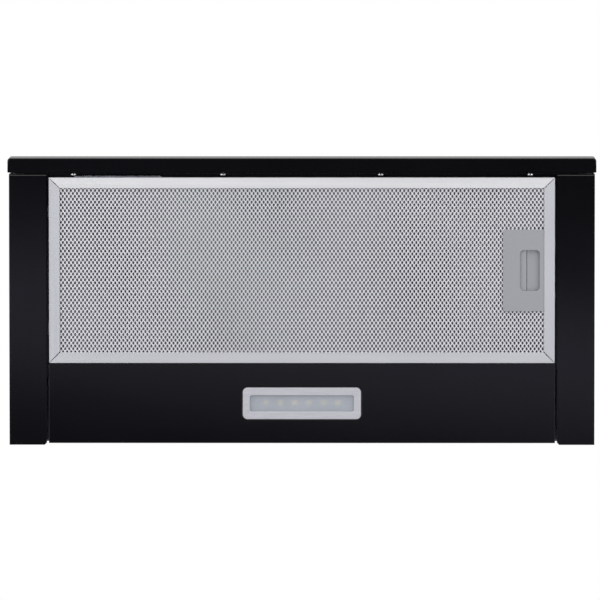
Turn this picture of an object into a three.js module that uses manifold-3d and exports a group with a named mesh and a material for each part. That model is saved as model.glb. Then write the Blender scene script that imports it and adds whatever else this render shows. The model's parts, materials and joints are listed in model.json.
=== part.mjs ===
// A built-in pull-out cooker hood, closed. Millimetres, +Z up, +X to the right, -Y towards the cook.
// The origin is on the plane of the hood's underside, below the middle of its outline.
// A shallow lower casing holds a drawer on two ball slides. The drawer carries the front panel, the
// controls and the grease filter. A motor box stands on the casing and blows out through a round collar
// with two flaps.

import * as THREE from "three";
import { mergeVertices } from "three/addons/utils/BufferGeometryUtils.js";
import Module from "manifold-3d";

const wasm = await Module();
wasm.setup();

// ---- Driving dimensions ----

const GAP = 0.3; // between pieces that touch
const SHEET = 1; // steel sheet
const ARC_STEPS = 4; // chords of a small corner
const TURN_STEPS = 24; // chords of a full circle
const COLLAR_STEPS = 36;

const WIDTH = 598; // front panel
const DEPTH = 292; // front panel to the back edge
const CASING_HEIGHT = 45;
const BOX_HEIGHT = 176; // top of the motor box above the underside

const PANEL = { thick: 14.7, belowCasing: 5, frontCorner: 3, backCorner: 1, flange: 12, overhang: 1.5 };

const CHANNEL = { width: 38, lip: 5, chamfer: 2.2 };

const DECK_LIP = 4; // folded down along the deck's front edge

const BACK_PLATE = { depth: 80.7, lift: 1, lip: 8, inset: 1.7, sideGap: 2.1 };

const LAMP = { width: 120.2, depth: 32.2, corner: 4.8, proud: 0.7, gap: 1.1, fromBack: 42.2, neck: 4 };
const LAMP_WINDOW = { width: LAMP.width - 13.6, depth: LAMP.depth - 15.1, corner: 1.5 };
const LENS_THICK = 1.2;
const LED = { count: 6, pitch: LAMP_WINDOW.width * 0.138, size: 5, height: 0.8, board: 1.2 };
const LAMP_TRAY = { height: 12, flange: 7, wall: 1 };

const FILTER = { height: 9, lift: 1.5, face: 10.7, sheet: 0.9, top: 8, tuck: 6, mitre: 0.3 };
const FILTER_SIDE_GAP = 2.5; // filter to side channel
const FILTER_FRONT_GAP = 5.2; // filter to front panel
const FILTER_BACK_GAP = 1; // filter to back plate
const MESH_THICK = 0.9;
const HOOK = { spacing: 120, width: 12, thick: 1.2, reach: 2.2, height: 5.6 };

const HANDLE = { width: 41.7, length: 83.2, sink: 0.2, wall: 1.2, corner: 2 };
const FINGER = { width: 20.2, length: 41.4, corner: 4, fromRight: 4.2 };
const LATCH = { bar: 14.2, armWidth: 6.4, armSpacing: 52, armThick: 2.8, clear: 0.4 };
const SPRING = { radius: 1.6, wire: 0.3, turns: 4.5, stepsPerTurn: 8, sides: 5, room: 7.7 };

const KEEPER_HEIGHT = 9; // lip of the drawer side that the filter hooks into
const LEDGE = 8; // drawer ledge over the edge of the filter
const DRAWER_BACK_FLANGE = 14.4;
const DRAWER_RAIL = { inset: 7, bottom: 2.5, belowCasing: 7 };
const DRAWER_SIDE_DROP = 11; // top of the drawer sides below the top of the casing
const SCREW = { head: 3.2, headThick: 1.5, shank: 1.8, length: 7.3, height: 6.2, clear: 0.3 };
const SCREW_PLACES = [-0.388, -0.134, 0.134, 0.388].map((share) => share * WIDTH);
const CLIP = { length: 87.6, fromEnd: 26.4, lift: 4, sheet: 0.7, foot: 1.4, gap: 0.4 };

const RAIL = { sheet: 1.2, step: 1, lift: 5.5, depth: 11.7, inner: 8.6, nest: 1.9 };
const RAIL_ENDS = { setback: 2, shorter: 42 };

const CONTROLS = { width: 115, depth: 26.5, fromEnd: 24, wall: 2, belowCasing: 9 };
const SLIDER = { knob: [12, 8, 2.4], stem: [4, 5], foot: [9, 9, 1.2], clear: 0.3 };
const SPEED = { place: -32, travel: 16 };
const LIGHT = { place: 28, travel: 8 };

const BOX = { frontSetback: 12, backSetback: 2, sideSetback: 38, foot: 9 };

const INNER_FILTER = { side: 21.5, front: 22, height: 8, face: 10, rest: 8, mesh: 5 };

const COLLAR = { bore: 58, wall: 2, height: 30, flange: 10, flangeThick: 2, offset: 17 };
const FLAP_SEAT = { reach: 4, bottom: 4, top: 5.5 };
const FLAP = { thick: 1, play: 1, pin: 1.2, knuckle: 2.6, bore: 1.5, rise: 1.2, clear: 0.6, steps: 15 };
const KNUCKLES = [
  [-0.81, -0.47],
  [0.05, 0.39],
]; // ends of each hinge knuckle, as shares of the collar's bore

const FAN_RADIUS = 0.443 * (BOX_HEIGHT - CASING_HEIGHT); // of the scroll at its widest
const FAN = { stand: 2.9, offset: 15.2, width: 104, narrow: 0.74, wall: 1.6, inlet: 0.55 };
const SPIRAL = { from: 130, to: 360, steps: 24, lowest: 0.9 };
const WHEEL = { outer: 0.66, inner: 0.53, clear: 4, vanes: 20, vane: 1.2, ring: 1.5, disc: 2 };
const HUB = { radius: 9, length: 28 };
const SHAFT = { radius: 4, bore: 4.3, left: -16 };
const MOTOR = { radius: 0.52, length: 42, corner: 4, seat: 16 };
const SPIDER = { thick: 1.5, stand: 4.4, ring: 0.42, arms: 3, armWidth: 8, post: 3, reach: 0.67 };

const BRACKET = { sheet: 1.5, length: 60, inner: 30, outer: 60, drop: 81, reach: 22.5, hole: 2.5 };
const GLAND = { fromSide: 74.5, fromBack: 28, flange: 13, flangeThick: 3, neck: 9, height: 14 };
const GLAND_STEM = { radius: 8, length: 8, bore: 4 };
const TERMINAL_BOX = { fromSide: 40, width: 70, depth: 46, drop: 58, height: 32, corner: 2 };
const LED_DRIVER = { fromSide: 70, width: 60, depth: 40, lift: 14.7, height: 22, corner: 2 };
const SWITCH = { fromSide: 1, width: 28, depth: 16, height: 17.7, drop: 14.7 };
const PLUNGER = { radius: 2, play: 0.3, out: 4, travel: 1.5 };

// ---- Places worked out from the driving dimensions ----

const front = -DEPTH / 2;
const back = DEPTH / 2;
const panelBack = front + PANEL.thick;
const panelTop = CASING_HEIGHT - PANEL.belowCasing;
const bodyFront = panelBack + SHEET + 2 * GAP;
const bodyHalf = WIDTH / 2 - PANEL.overhang;
const channelInner = bodyHalf - CHANNEL.width;
const wallTop = CASING_HEIGHT - SHEET - GAP;
const plateBack = back - BACK_PLATE.inset;
const plateFront = plateBack - BACK_PLATE.depth;
const plateHalf = channelInner - BACK_PLATE.sideGap;

const filterHalf = channelInner - FILTER_SIDE_GAP;
const filterFront = panelBack + FILTER_FRONT_GAP;
const filterBack = plateFront - FILTER_BACK_GAP;
const filterDepth = filterBack - filterFront;
const filterMiddle = (filterFront + filterBack) / 2;
const filterTop = FILTER.lift + FILTER.height;
const handleRight = filterHalf - FILTER.face - GAP;
const handleLeft = handleRight - HANDLE.width;
const ledgeBottom = filterTop + GAP;
const ledgeTop = ledgeBottom + SHEET;

const keeper = channelInner - GAP - SHEET; // inner face of the drawer side's lip
const tongueTip = keeper - GAP;
const drawerHalf = keeper - GAP; // end of the drawer's front and back ledges

const railHeight = CASING_HEIGHT - 10;
const railOuter = bodyHalf - SHEET - GAP;
const railInner = railOuter - RAIL.depth - RAIL.nest;
const drawerWeb = railInner - GAP - SHEET;
const drawerFlange = ledgeTop + 0.2;
const drawerSideTop = CASING_HEIGHT - DRAWER_SIDE_DROP;
const drawerBack = filterBack - LEDGE - 1 + DRAWER_BACK_FLANGE;

const boxFront = bodyFront + BOX.frontSetback;
const boxBack = back - BOX.backSetback;
const boxMiddle = (boxFront + boxBack) / 2;
const boxHalf = bodyHalf - BOX.sideSetback;
const boxBottom = CASING_HEIGHT + GAP;
const outletMiddle = boxMiddle + COLLAR.offset;
const fanMiddle = outletMiddle - FAN.offset;
const fanHeight = boxBottom + INNER_FILTER.height + FAN.stand + FAN.wall + SPIRAL.lowest * FAN_RADIUS;

// ---- Finishes ----

const finish = (color, roughness, metalness) =>
  new THREE.MeshStandardMaterial({ color, roughness, metalness });
const blackPaint = finish(0x141418, 0.4, 0.1);
const zinc = finish(0x9a9ea2, 0.45, 0.9);
const brightSteel = finish(0xc4c6ca, 0.25, 1);
const aluminium = finish(0xc9ccd4, 0.35, 0.85);
const greyPlastic = finish(0xa2a4a8, 0.5, 0);
const silverPlastic = finish(0xc2c3cb, 0.35, 0.3);
const blackPlastic = finish(0x1c1c1f, 0.5, 0);
const whitePlastic = finish(0xe6e6e2, 0.5, 0);
const frosted = finish(0xa6abb5, 0.3, 0);
const board = finish(0xf0efe8, 0.6, 0);

// ---- Shapes ----

const polygon = (points) => new THREE.Shape(points.map(([a, b]) => new THREE.Vector2(a, b)));

// A rectangle with rounded corners; radii is one number, or one for each corner from the low-low one on.
function rounded([x0, x1], [y0, y1], radii) {
  const [a, b, c, d] = [radii, radii, radii, radii].map((r, i) => (Array.isArray(r) ? r[i] : r));
  const shape = new THREE.Shape();
  shape.moveTo(x0 + a, y0);
  shape.lineTo(x1 - b, y0);
  shape.absarc(x1 - b, y0 + b, b, -Math.PI / 2, 0);
  shape.lineTo(x1, y1 - c);
  shape.absarc(x1 - c, y1 - c, c, 0, Math.PI / 2);
  shape.lineTo(x0 + d, y1);
  shape.absarc(x0 + d, y1 - d, d, Math.PI / 2, Math.PI);
  shape.lineTo(x0, y0 + a);
  shape.absarc(x0 + a, y0 + a, a, Math.PI, 1.5 * Math.PI);
  return shape;
}

// The outline of a sheet folded along points, lying on the left of that path.
function folded(points, thickness) {
  const path = points.map(([a, b]) => new THREE.Vector2(a, b));
  const normals = path.slice(1).map((p, i) => {
    const along = p.clone().sub(path[i]).normalize();
    return new THREE.Vector2(-along.y, along.x);
  });
  const inside = path.map((p, i) => {
    const before = normals[Math.max(i - 1, 0)];
    const after = normals[Math.min(i, normals.length - 1)];
    return before.clone().add(after).multiplyScalar(thickness / (1 + before.dot(after))).add(p);
  });
  return new THREE.Shape([...path, ...inside.reverse()]);
}

const block = ([x0, x1], [y0, y1], [z0, z1]) =>
  new THREE.BoxGeometry(x1 - x0, y1 - y0, z1 - z0).translate((x0 + x1) / 2, (y0 + y1) / 2, (z0 + z1) / 2);

// Where a shape's own x and y lie when it is drawn out along the third axis.
const PLANES = {
  xy: (from) => new THREE.Matrix4().makeTranslation(0, 0, from),
  xz: (from, to) => new THREE.Matrix4().set(1, 0, 0, 0, 0, 0, -1, to, 0, 1, 0, 0, 0, 0, 0, 1),
  yz: (from) => new THREE.Matrix4().set(0, 0, 1, from, 1, 0, 0, 0, 0, 1, 0, 0, 0, 0, 0, 1),
};

function prism(shape, plane, [from, to], curveSegments = ARC_STEPS) {
  const options = { depth: to - from, bevelEnabled: false, curveSegments };
  return new THREE.ExtrudeGeometry(shape, options).applyMatrix4(PLANES[plane](from, to));
}

// A rod along one axis; place gives its middle on the other two, in X, Y, Z order.
function rod(axis, radius, [from, to], place, steps = TURN_STEPS) {
  const middle = (from + to) / 2;
  const made = new THREE.CylinderGeometry(radius, radius, to - from, steps);
  if (axis === "x") return made.rotateZ(-Math.PI / 2).translate(middle, ...place);
  if (axis === "y") return made.translate(place[0], middle, place[1]);
  return made.rotateX(Math.PI / 2).translate(...place, middle);
}

// A closed profile of [radius, height] points turned about Z.
function turned(points, steps = TURN_STEPS) {
  const closed = [...points, points[0]].map(([r, z]) => new THREE.Vector2(r, z));
  if (THREE.ShapeUtils.area(closed) < 0) closed.reverse();
  return new THREE.LatheGeometry(closed, steps).rotateX(Math.PI / 2);
}

// ---- Joining and cutting ----

function solidOf(shape) {
  if (!shape.isBufferGeometry) return shape;
  const loose = shape.index ? shape.toNonIndexed() : shape.clone();
  loose.deleteAttribute("normal");
  loose.deleteAttribute("uv");
  const merged = mergeVertices(loose, 1e-4);
  const vertProperties = merged.attributes.position.array;
  const triVerts = new Uint32Array(merged.index.array);
  return new wasm.Manifold(new wasm.Mesh({ numProp: 3, vertProperties, triVerts }));
}

const join = (...shapes) => shapes.map(solidOf).reduce((a, b) => a.add(b));
const cut = (shape, ...tools) => tools.map(solidOf).reduce((a, b) => a.subtract(b), solidOf(shape));

function geometryOf(solid) {
  const { vertProperties, triVerts, numProp } = solid.getMesh();
  const position = new THREE.BufferAttribute(new Float32Array(vertProperties), numProp);
  const made = new THREE.BufferGeometry().setAttribute("position", position);
  made.setIndex(new THREE.BufferAttribute(new Uint32Array(triVerts), 1));
  made.computeVertexNormals();
  return made;
}

function piece(name, shape, material) {
  const mesh = new THREE.Mesh(shape.isBufferGeometry ? shape : geometryOf(shape), material);
  mesh.name = name;
  return mesh;
}

// The same piece on both sides: drawn for the right, mirrored for the left.
function pair(name, shape, material) {
  const right = piece(name + "_right", shape, material);
  const left = piece(name + "_left", shape, material);
  left.scale.x = -1;
  return [left, right];
}

function group(x, y, z, ...members) {
  const made = new THREE.Group();
  made.position.set(x, y, z);
  made.add(...members.flat());
  return made;
}

const across = (half) => [-half, half];

// ---- Lower casing ----

function sideChannels() {
  const section = folded(
    [
      [channelInner, CHANNEL.lip],
      [channelInner, 0],
      [bodyHalf, 0],
      [bodyHalf, wallTop],
    ],
    SHEET,
  );
  const frontTab = block([channelInner, bodyHalf], [bodyFront, bodyFront + SHEET], [0, CHANNEL.lip]);
  const backTab = block([channelInner, bodyHalf], [back - SHEET, back], [0, wallTop]);
  const corner = polygon([
    [channelInner - 1, back + 1],
    [channelInner - 1, back - CHANNEL.chamfer - 1],
    [channelInner + CHANNEL.chamfer + 1, back + 1],
  ]);
  const shell = join(prism(section, "xz", [bodyFront, back]), frontTab, backTab);
  return pair("side_channel", cut(shell, prism(corner, "xy", [-1, CASING_HEIGHT])), blackPaint);
}

function deckPlate() {
  const filterX = boxHalf - INNER_FILTER.side - INNER_FILTER.rest;
  const filterY = [boxFront + INNER_FILTER.front, boxBack - INNER_FILTER.front];
  const opening = [filterY[0] + INNER_FILTER.rest, filterY[1] - INNER_FILTER.rest];
  const plate = block(across(bodyHalf), [bodyFront, back], [CASING_HEIGHT - SHEET, CASING_HEIGHT]);
  const lipHeights = [CASING_HEIGHT - DECK_LIP, CASING_HEIGHT];
  const lip = block(across(channelInner), [bodyFront, bodyFront + SHEET], lipHeights);
  const hole = block(across(filterX), opening, [0, BOX_HEIGHT]);
  return piece("deck_plate", cut(join(plate, lip), hole), zinc);
}

const lampMiddle = back - LAMP.fromBack;

function backPlate() {
  const section = folded(
    [
      [plateFront, BACK_PLATE.lift + BACK_PLATE.lip],
      [plateFront, BACK_PLATE.lift],
      [plateBack, BACK_PLATE.lift],
      [plateBack, wallTop],
    ],
    SHEET,
  );
  const halfWidth = LAMP.width / 2 + LAMP.gap;
  const halfDepth = LAMP.depth / 2 + LAMP.gap;
  const hole = rounded(across(halfWidth), across(halfDepth), LAMP.corner + LAMP.gap);
  const opening = prism(hole, "xy", [-1, SHEET * 3]).translate(0, lampMiddle, 0);
  return piece("back_plate", cut(prism(section, "yz", across(plateHalf)), opening), blackPaint);
}

// ---- Lamp, drawn about the middle of its bezel with z = 0 on the face of the back plate ----

const neckWall = 1.9;
const lensRim = 1.8; // how far the lens reaches behind the edge of the window
const neckHalf = [LAMP_WINDOW.width, LAMP_WINDOW.depth].map((side) => side / 2 + lensRim + neckWall);
const traySeat = SHEET + GAP;

function lampBezel() {
  const face = rounded(across(LAMP.width / 2), across(LAMP.depth / 2), LAMP.corner);
  const { width, depth, corner } = LAMP_WINDOW;
  const neck = rounded(across(neckHalf[0]), across(neckHalf[1]), corner + neckWall);
  const bore = rounded(across(neckHalf[0] - neckWall), across(neckHalf[1] - neckWall), corner);
  const window = rounded(across(width / 2), across(depth / 2), corner);
  const solid = join(prism(face, "xy", [-LAMP.proud, SHEET]), prism(neck, "xy", [0, SHEET + LAMP.neck]));
  const hollow = prism(bore, "xy", [SHEET, SHEET + LAMP.neck + 1]);
  return piece("lamp_bezel", cut(solid, hollow, prism(window, "xy", [-2, SHEET + 1])), silverPlastic);
}

function lampLens() {
  const half = neckHalf.map((side) => side - neckWall - GAP);
  const plate = rounded(across(half[0]), across(half[1]), LAMP_WINDOW.corner);
  return piece("lamp_lens", prism(plate, "xy", [SHEET + GAP, SHEET + GAP + LENS_THICK]), frosted);
}

function lampTray() {
  const wallHalf = neckHalf.map((side) => side + GAP + LAMP_TRAY.wall);
  const flangeHalf = [LAMP.width, LAMP.depth].map((side) => side / 2 + LAMP.gap + LAMP_TRAY.flange);
  const top = traySeat + LAMP_TRAY.height;
  const around = ([x, y], heights) => block(across(x), across(y), heights);
  const flange = around(flangeHalf, [traySeat, traySeat + LAMP_TRAY.wall]);
  const walls = around(wallHalf, [traySeat, top]);
  const inside = around(
    wallHalf.map((side) => side - LAMP_TRAY.wall),
    [0, top - LAMP_TRAY.wall],
  );
  return piece("lamp_tray", cut(join(flange, walls), inside), whitePlastic);
}

function ledBoard() {
  const top = traySeat + LAMP_TRAY.height - LAMP_TRAY.wall - GAP;
  const half = neckHalf.map((side) => side - neckWall);
  const plate = block(across(half[0]), across(half[1]), [top - LED.board, top]);
  const chips = Array.from({ length: LED.count }, (_, i) => {
    const x = (i - (LED.count - 1) / 2) * LED.pitch;
    const heights = [top - LED.board - LED.height, top - LED.board / 2];
    return block([x - LED.size / 2, x + LED.size / 2], across(LED.size / 2), heights);
  });
  return piece("led_board", join(plate, ...chips), board);
}

// ---- Motor box and the filter in its floor ----

const glandX = boxHalf - GLAND.fromSide;

function motorBoxTop() {
  const plate = block(across(boxHalf), [boxFront, boxBack], [BOX_HEIGHT - SHEET, BOX_HEIGHT]);
  const through = [BOX_HEIGHT - 2 * SHEET, BOX_HEIGHT + 1];
  const outletHole = rod("z", COLLAR.bore, through, [0, outletMiddle], COLLAR_STEPS);
  const cableHole = rod("z", GLAND_STEM.radius + GAP, through, [glandX, back - GLAND.fromBack], 16);
  return piece("motor_box_top", cut(plate, outletHole, cableHole), zinc);
}

const cabinetWall = boxHalf + BRACKET.reach;
const bracketBottom = BOX_HEIGHT - BRACKET.drop;
const bracketScrewZ = bracketBottom + BRACKET.inner * 0.6;
const cabinetScrewZ = bracketBottom + BRACKET.outer * 0.8;

// One sheet folded round all four sides, with a foot along the front.
function motorBoxWalls() {
  const heights = [boxBottom, BOX_HEIGHT - SHEET - GAP];
  const outside = block(across(boxHalf), [boxFront, boxBack], heights);
  const inside = block(across(boxHalf - SHEET), [boxFront + SHEET, boxBack - SHEET], [0, BOX_HEIGHT]);
  const footY = [boxFront - BOX.foot, boxFront + SHEET];
  const foot = block(across(boxHalf), footY, [boxBottom, boxBottom + SHEET]);
  const screwHoles = [-boxHalf, boxHalf].map((x) =>
    rod("x", SCREW.shank + GAP, [x - 2, x + 2], [boxMiddle, bracketScrewZ], 12),
  );
  return piece("motor_box_walls", cut(join(outside, foot), inside, ...screwHoles), zinc);
}

function cabinetBrackets() {
  const inner = boxHalf + GAP;
  const section = folded(
    [
      [inner, bracketBottom + BRACKET.inner],
      [inner, bracketBottom],
      [cabinetWall, bracketBottom],
      [cabinetWall, bracketBottom + BRACKET.outer],
    ],
    BRACKET.sheet,
  );
  const ends = [boxMiddle - BRACKET.length / 2, boxMiddle + BRACKET.length / 2];
  const screwHole = rod("x", SCREW.shank + GAP, [inner - 1, inner + 3], [boxMiddle, bracketScrewZ], 12);
  const cabinetHoles = [-1, 1].map((side) => {
    const y = boxMiddle + (side * BRACKET.length) / 4;
    return rod("x", BRACKET.hole, [cabinetWall - 3, cabinetWall + 1], [y, cabinetScrewZ], 12);
  });
  return pair("cabinet_bracket", cut(prism(section, "xz", ends), screwHole, ...cabinetHoles), zinc);
}

function bracketScrews() {
  const face = boxHalf + GAP + BRACKET.sheet + GAP;
  const head = rod("x", SCREW.head, [face, face + 2], [boxMiddle, bracketScrewZ], 16);
  const shank = rod("x", SCREW.shank, [boxHalf - 4, face + 1], [boxMiddle, bracketScrewZ], 12);
  return pair("bracket_screw", join(head, shank), brightSteel);
}

function innerFilter() {
  const halfX = boxHalf - INNER_FILTER.side;
  const halfY = (boxBack - boxFront) / 2 - INNER_FILTER.front;
  const face = INNER_FILTER.face;
  const tuck = face / 2;
  const ring = block(across(halfX), across(halfY), [0, INNER_FILTER.height]);
  const window = block(across(halfX - face), across(halfY - face), [-1, INNER_FILTER.height + 1]);
  const middle = INNER_FILTER.height / 2;
  const slot = [middle - INNER_FILTER.mesh / 2 - GAP, middle + INNER_FILTER.mesh / 2 + GAP];
  const groove = block(across(halfX - tuck + GAP), across(halfY - tuck + GAP), slot);
  const mesh = block(across(halfX - tuck), across(halfY - tuck), [slot[0] + GAP, slot[1] - GAP]);
  return [
    piece("inner_filter_frame", cut(ring, window, groove), aluminium),
    piece("inner_filter_mesh", mesh, aluminium),
  ];
}

// ---- Fan, drawn about its axis, which runs along X ----

const fanTop = BOX_HEIGHT - SHEET - GAP - fanHeight;
const fanStart = FAN.narrow * FAN_RADIUS;

// The outline of the scroll, its wall grown outwards by grow, in the fan's Y and Z.
function scroll(grow, top) {
  const turn = Math.PI / 180;
  const spiral = Array.from({ length: SPIRAL.steps + 1 }, (_, i) => {
    const share = i / SPIRAL.steps;
    const angle = (SPIRAL.from + (SPIRAL.to - SPIRAL.from) * share) * turn;
    const radius = fanStart + (FAN_RADIUS - fanStart) * share + grow;
    return [radius * Math.cos(angle), radius * Math.sin(angle)];
  });
  const tongue = fanStart * Math.cos(SPIRAL.from * turn) - grow;
  spiral[0][0] = tongue;
  return polygon([...spiral, [FAN_RADIUS + grow, top], [tongue, top]]);
}

function fanScrolls() {
  const half = FAN.width / 2;
  const shell = prism(scroll(FAN.wall, fanTop), "yz", [GAP / 2, half + FAN.wall]);
  const inside = prism(scroll(0, fanTop + 1), "yz", [-1, half]);
  const inlet = rod("x", FAN.inlet * FAN_RADIUS, [half - 1, half + FAN.wall + 1], [0, 0]);
  return pair("fan_scroll", cut(shell, inside, inlet), blackPlastic);
}

const wheelInner = WHEEL.inner * FAN_RADIUS;
const wheelOuter = WHEEL.outer * FAN_RADIUS;
const wheelHalf = FAN.width / 2 - WHEEL.clear;

function vane(angle) {
  const lean = 0.14; // each vane leans forwards by this turn over its width
  const line = [
    [wheelInner, 0],
    [wheelOuter, lean],
  ];
  const edge = (side) =>
    line.map(([r, turn]) => {
      const a = angle + turn + (side * WHEEL.vane) / 2 / r;
      return [r * Math.cos(a), r * Math.sin(a)];
    });
  return prism(polygon([...edge(-1), ...edge(1).reverse()]), "yz", across(wheelHalf - 0.5));
}

function impeller() {
  const rings = [-wheelHalf, wheelHalf - WHEEL.ring].map((x) =>
    cut(
      rod("x", wheelOuter + 0.5, [x, x + WHEEL.ring], [0, 0]),
      rod("x", wheelInner - 0.5, [x - 1, x + WHEEL.ring + 1], [0, 0]),
    ),
  );
  const vanes = Array.from({ length: WHEEL.vanes }, (_, i) => vane((i * 2 * Math.PI) / WHEEL.vanes));
  const disc = rod("x", wheelOuter - 1, across(WHEEL.disc / 2), [0, 0]);
  const hub = rod("x", HUB.radius, across(HUB.length / 2), [0, 0], 16);
  const bore = rod("x", SHAFT.bore, across(HUB.length), [0, 0], 16);
  return piece("impeller", cut(join(disc, hub, ...rings, ...vanes), bore), blackPlastic);
}

const spiderFace = FAN.width / 2 + FAN.wall + GAP + SPIDER.stand;
const motorFace = spiderFace + SPIDER.thick + GAP;

function motor() {
  const end = MOTOR.length;
  const radius = MOTOR.radius * FAN_RADIUS;
  const profile = [
    [0, MOTOR.seat],
    [SHAFT.bore, MOTOR.seat],
    [SHAFT.bore, 0],
    [radius - MOTOR.corner, 0],
    [radius, MOTOR.corner],
    [radius, end - MOTOR.corner],
    [radius - MOTOR.corner, end],
    [0, end],
  ];
  const body = new THREE.LatheGeometry(profile.map(([r, z]) => new THREE.Vector2(r, z)), TURN_STEPS);
  return piece("motor", body.rotateZ(-Math.PI / 2).translate(motorFace, 0, 0), zinc);
}

function motorShaft() {
  const right = motorFace + MOTOR.seat - 1;
  return piece("motor_shaft", rod("x", SHAFT.radius, [SHAFT.left, right], [0, 0], 16), brightSteel);
}

function motorBracket() {
  const plate = [spiderFace, spiderFace + SPIDER.thick];
  const reach = SPIDER.reach * FAN_RADIUS;
  const arms = Array.from({ length: SPIDER.arms }, (_, i) => {
    const angle = Math.PI / 2 + (i * 2 * Math.PI) / SPIDER.arms;
    const arm = block(plate, across(SPIDER.armWidth / 2), [SHAFT.bore + 4, reach]);
    const post = rod("x", SPIDER.post, [spiderFace - SPIDER.stand, plate[1]], [0, reach], 12);
    return join(arm, post).transform(new THREE.Matrix4().makeRotationX(angle).elements);
  });
  const ring = rod("x", SPIDER.ring * FAN_RADIUS, plate, [0, 0]);
  const bore = rod("x", SHAFT.bore + 1, [spiderFace - 5, spiderFace + 5], [0, 0], 16);
  return piece("motor_bracket", cut(join(ring, ...arms), bore), zinc);
}

// ---- Outlet, drawn about the collar's axis with z = 0 on the top of the motor box ----

const pinZ = FLAP_SEAT.top + GAP + FLAP.thick / 2 + FLAP.rise;

function collar() {
  const outer = COLLAR.bore + COLLAR.wall;
  const profile = [
    [COLLAR.bore, GAP],
    [outer + COLLAR.flange, GAP],
    [outer + COLLAR.flange, GAP + COLLAR.flangeThick],
    [outer, GAP + COLLAR.flangeThick],
    [outer, COLLAR.height - 2],
    [outer - 1, COLLAR.height],
    [COLLAR.bore, COLLAR.height],
    [COLLAR.bore, FLAP_SEAT.top],
    [COLLAR.bore - FLAP_SEAT.reach, FLAP_SEAT.top],
    [COLLAR.bore - FLAP_SEAT.reach, FLAP_SEAT.bottom],
    [COLLAR.bore, FLAP_SEAT.bottom],
  ];
  return piece("outlet_collar", turned(profile, COLLAR_STEPS), blackPlastic);
}

const flapPin = () =>
  piece("flap_pin", rod("x", FLAP.pin, across(COLLAR.bore - 2 * GAP), [0, pinZ], 12), brightSteel);

// The flap on the cook's side; the other is the same, turned half round.
function flap(name, turn) {
  const radius = COLLAR.bore - FLAP.play;
  const leaf = [pinZ - FLAP.rise - FLAP.thick / 2, pinZ - FLAP.rise + FLAP.thick / 2];
  const clear = FLAP.knuckle + FLAP.clear;
  const open = Math.asin(clear / radius);
  const halfMoon = new THREE.Shape();
  halfMoon.absarc(0, 0, radius, Math.PI + open, 2 * Math.PI - open);
  const places = KNUCKLES.map((ends) => ends.map((share) => share * COLLAR.bore));
  const knuckles = places.map((ends) => rod("x", FLAP.knuckle, ends, [0, pinZ], 16));
  const straps = places.map((ends) => block(ends, [-clear - 1, -FLAP.bore / 2], leaf));
  const bore = rod("x", FLAP.bore, across(COLLAR.bore), [0, pinZ], 16);
  const solid = join(prism(halfMoon, "xy", leaf, FLAP.steps), ...knuckles, ...straps);
  const mesh = piece(name, cut(solid, bore), blackPlastic);
  mesh.rotation.z = turn;
  return mesh;
}

// ---- Electrical pieces in the motor box ----

function electrics() {
  const wall = boxBack - SHEET - GAP;
  const cased = ({ width, depth, height, corner }, left, bottom) =>
    prism(rounded([left, left + width], [bottom, bottom + height], corner), "xz", [wall - depth, wall]);
  const terminals = cased(
    TERMINAL_BOX,
    boxHalf - TERMINAL_BOX.fromSide - TERMINAL_BOX.width,
    BOX_HEIGHT - TERMINAL_BOX.drop,
  );
  const driver = cased(LED_DRIVER, LED_DRIVER.fromSide - boxHalf, boxBottom + LED_DRIVER.lift);
  const glandTop = GAP + GLAND.flangeThick;
  const gland = turned(
    [
      [GLAND_STEM.bore, -SHEET - GLAND_STEM.length],
      [GLAND_STEM.radius, -SHEET - GLAND_STEM.length],
      [GLAND_STEM.radius, GAP],
      [GLAND.flange, GAP],
      [GLAND.flange, glandTop],
      [GLAND.neck, glandTop],
      [GLAND.neck - 1.5, GLAND.height],
      [GLAND_STEM.bore, GLAND.height],
    ],
    16,
  );
  return [
    piece("terminal_box", terminals, whitePlastic),
    piece("led_driver", driver, whitePlastic),
    group(glandX, back - GLAND.fromBack, BOX_HEIGHT, piece("cable_gland", gland, blackPlastic)),
  ];
}

// The switch that the closing drawer presses, hung under the deck plate behind the drawer.
function drawerSwitch() {
  const railBack = drawerBack + GAP;
  const face = railBack + PLUNGER.out;
  const left = SWITCH.fromSide - channelInner;
  const x = [left, left + SWITCH.width];
  const body = block(x, [face, face + SWITCH.depth], [wallTop - SWITCH.height, wallTop]);
  const stem = [railBack, face + 4];
  const bore = [face - 1, stem[1] + PLUNGER.travel + 1];
  const place = [left + SWITCH.width / 2, CASING_HEIGHT - SWITCH.drop];
  const hole = rod("y", PLUNGER.radius + PLUNGER.play, bore, place, 16);
  return [
    piece("drawer_switch", cut(body, hole), blackPlastic),
    piece("drawer_switch_plunger", rod("y", PLUNGER.radius, stem, place, 16), whitePlastic),
  ];
}

// ---- Ball slides ----

// A channel section whose web is at x[1]; with x[0] over x[1] it opens to the right.
function railSection(x, z) {
  const points = [
    [x[0], z[0]],
    [x[1], z[0]],
    [x[1], z[1]],
    [x[0], z[1]],
  ];
  return folded(x[0] < x[1] ? points : points.reverse(), RAIL.sheet);
}

function slides() {
  const step = RAIL.sheet + RAIL.step;
  const start = bodyFront + SHEET + GAP + RAIL_ENDS.setback;
  const ends = [start, start + DEPTH - RAIL_ENDS.shorter];
  const outerX = [railOuter - RAIL.depth, railOuter];
  const level = (n) => [RAIL.lift + n * step, RAIL.lift + railHeight - n * step];
  const rail = (x, n) => prism(railSection(x, level(n)), "xz", ends);
  return [
    pair("slide_outer_rail", rail(outerX, 0), zinc),
    pair("slide_middle_rail", rail([outerX[0] + GAP, railOuter - step], 1), zinc),
    pair("slide_inner_rail", rail([railInner + RAIL.inner, railInner], 2), zinc),
  ].flat();
}

// ---- Drawer ----

function screwHoles(from, to) {
  return SCREW_PLACES.map((x) => rod("y", SCREW.shank + SCREW.clear, [from, to], [x, SCREW.height], 12));
}

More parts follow.
